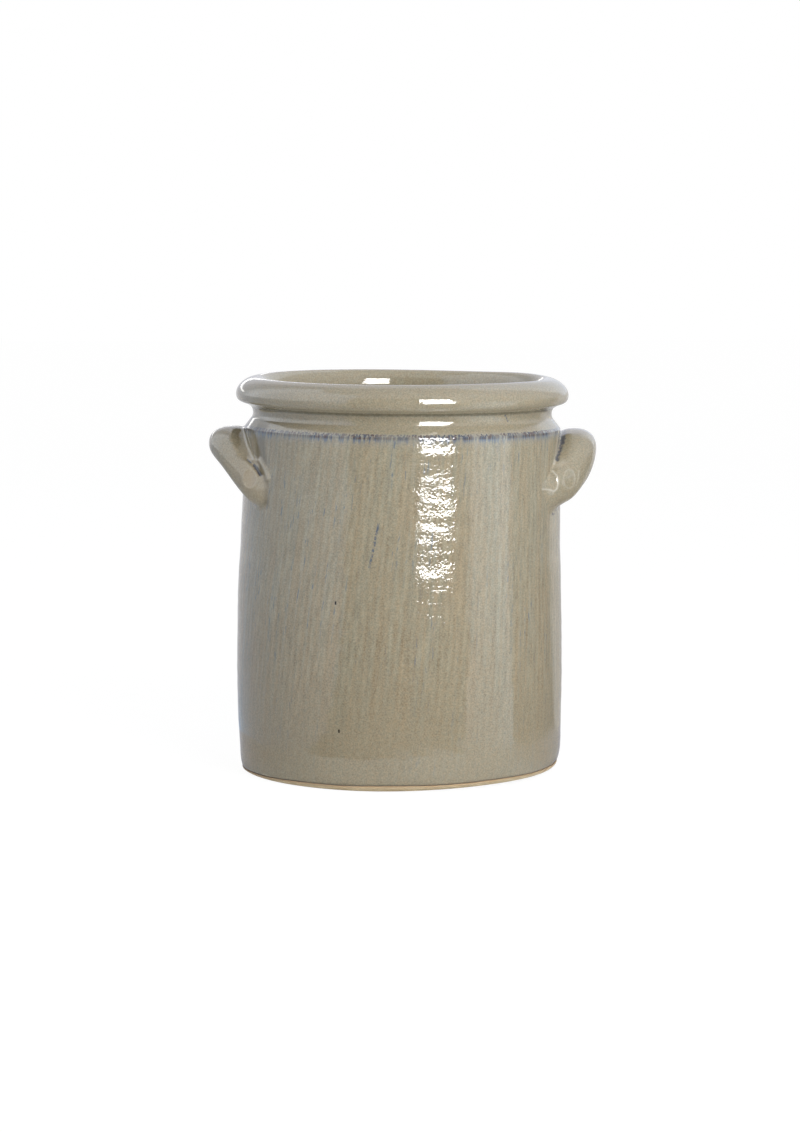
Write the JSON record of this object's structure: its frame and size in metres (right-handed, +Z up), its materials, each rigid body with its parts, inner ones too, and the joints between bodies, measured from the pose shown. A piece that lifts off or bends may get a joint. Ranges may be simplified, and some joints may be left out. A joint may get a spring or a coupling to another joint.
{
  "type": "flower pot",
  "caption": "Glazed stoneware flower pot: slightly bellied wall, sharp shoulder, drawn-in neck, rolled rim, ear handles to lift it and a bare foot ring to stand on.",
  "frame": {"origin": "on the standing plane, on the axis of the pot", "axes": "+Z up to the mouth, X through both handles with the bulkier one on +X, -Y towards the viewer of the picture"},
  "size_m": [0.2368, 0.2022, 0.24],
  "materials": {
    "glaze": "glossy grey-beige stoneware glaze with fine streaks and a blue break along the shoulder",
    "bare_clay": "matt bare tan clay"
  },
  "bodies": {
    "root": {"foot_ring": "bare_clay", "floor_slab": "glaze", "seam_coil": "glaze", "body_wall": "glaze", "neck_collar": "glaze", "rolled_rim": "glaze", "left_handle": "glaze", "right_handle": "glaze"}
  },
  "joints": []
}
